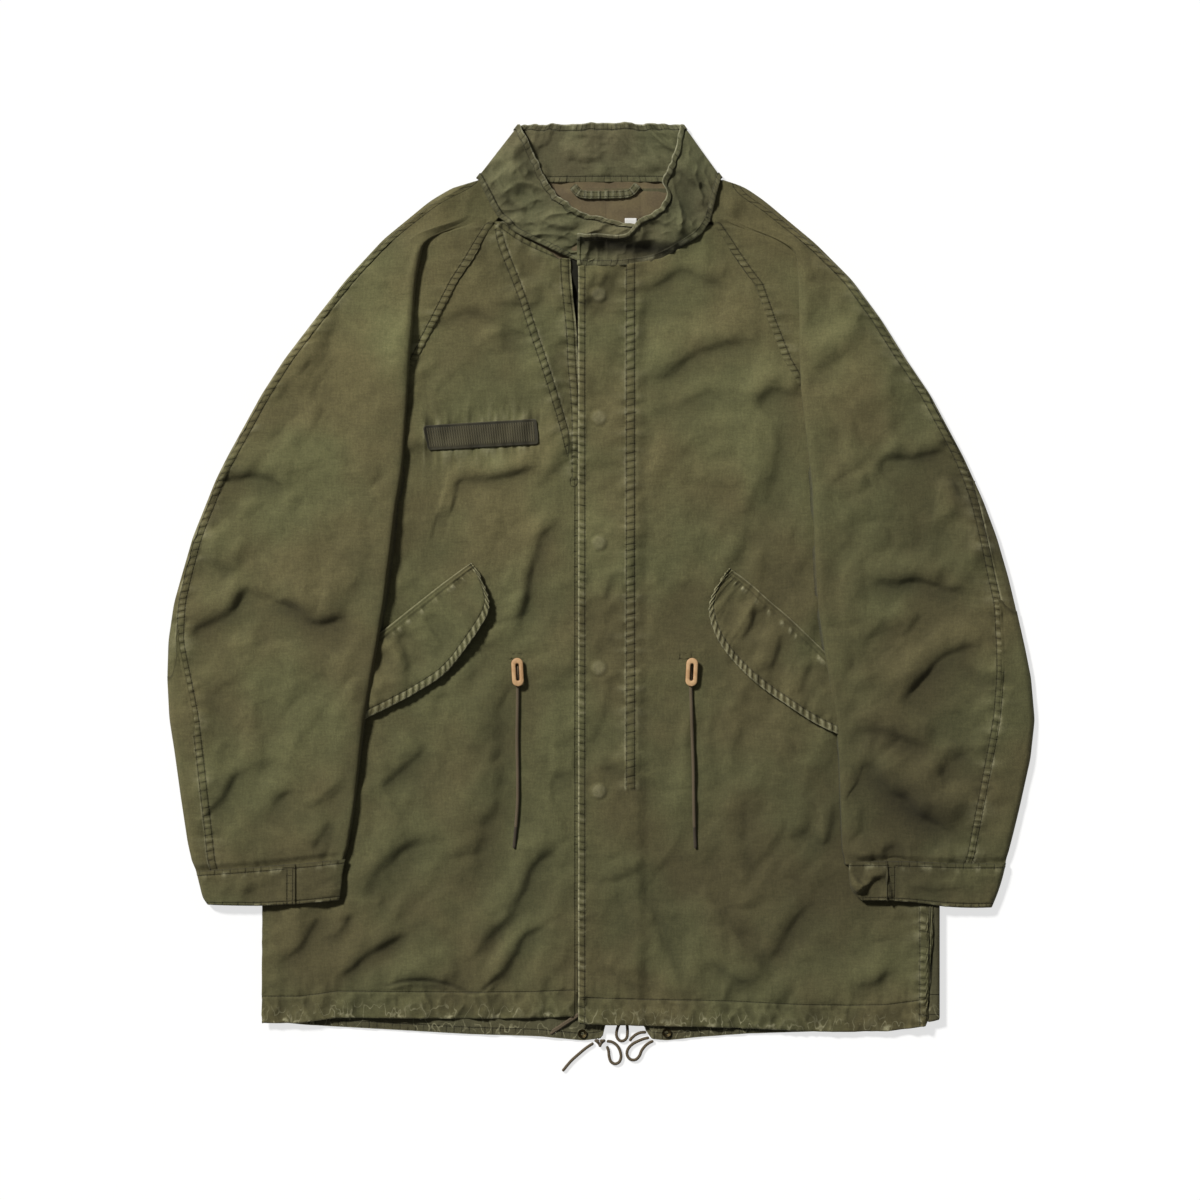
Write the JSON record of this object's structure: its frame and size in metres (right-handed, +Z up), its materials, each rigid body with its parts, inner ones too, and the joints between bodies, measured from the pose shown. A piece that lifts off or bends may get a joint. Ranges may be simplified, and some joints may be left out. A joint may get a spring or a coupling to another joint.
{
  "type": "fishtail parka",
  "caption": "Washed cotton fishtail parka lying flat on its back, front fly closed, collar open, sleeves along the sides, split tail and drawcord ends at the hem",
  "frame": {"origin": "on the surface that the coat lies on, under the middle of its outline; +Z up through the fronts", "axes": "+X towards the wearer's left sleeve, +Y from the tail to the collar, +Z up"},
  "size_m": [0.8344, 0.91, 0.0144],
  "materials": {
    "twill_top": "washed olive cotton twill, matt, mottled and paler along raised seams",
    "twill_back": "washed olive cotton twill, matt, seen in the shade behind the hem gap",
    "collar_cloth": "washed olive cotton twill, frayed pale along its free edge",
    "lining_cloth": "brown cotton lining, fine plain weave",
    "webbing": "dark olive tape weave with a ribbed face",
    "label_cloth": "white woven label, bare",
    "leather": "natural vegetable-tanned leather, matt",
    "braid": "round braided cotton cord, brown olive",
    "brass": "dark aged brass"
  },
  "bodies": {
    "root": {"back_panel": "twill_back", "front_right": "twill_top", "front_left": "twill_top", "fly_underlay": "twill_back", "sleeve_right_front": "twill_top", "sleeve_right_back": "twill_top", "sleeve_left_front": "twill_top", "sleeve_left_back": "twill_top", "elbow_patch_right": "twill_top", "elbow_patch_left": "twill_top", "cuff_right": "twill_top", "cuff_left": "twill_top", "collar": "collar_cloth", "neck_lining": "lining_cloth", "hanger_loop": "collar_cloth", "neck_label": "label_cloth", "pocket_flap_right": "twill_top", "pocket_flap_left": "twill_top", "name_tape": "webbing", "snap_1": "brass", "snap_2": "brass", "snap_3": "brass", "snap_4": "brass", "snap_5": "brass", "snap_6": "brass", "waist_cord_right": "braid", "leather_keeper_right": "leather", "waist_cord_left": "braid", "leather_keeper_left": "leather", "tail_cord_right_end": "braid", "tail_cord_right_loop": "braid", "tail_cord_left": "braid", "tail_cord_left_end": "braid", "hem_cord_loop": "braid", "tail_knot": "braid", "hem_drawcord": "braid", "tail_eyelet_right": "brass", "tail_eyelet_left": "brass"}
  },
  "joints": []
}
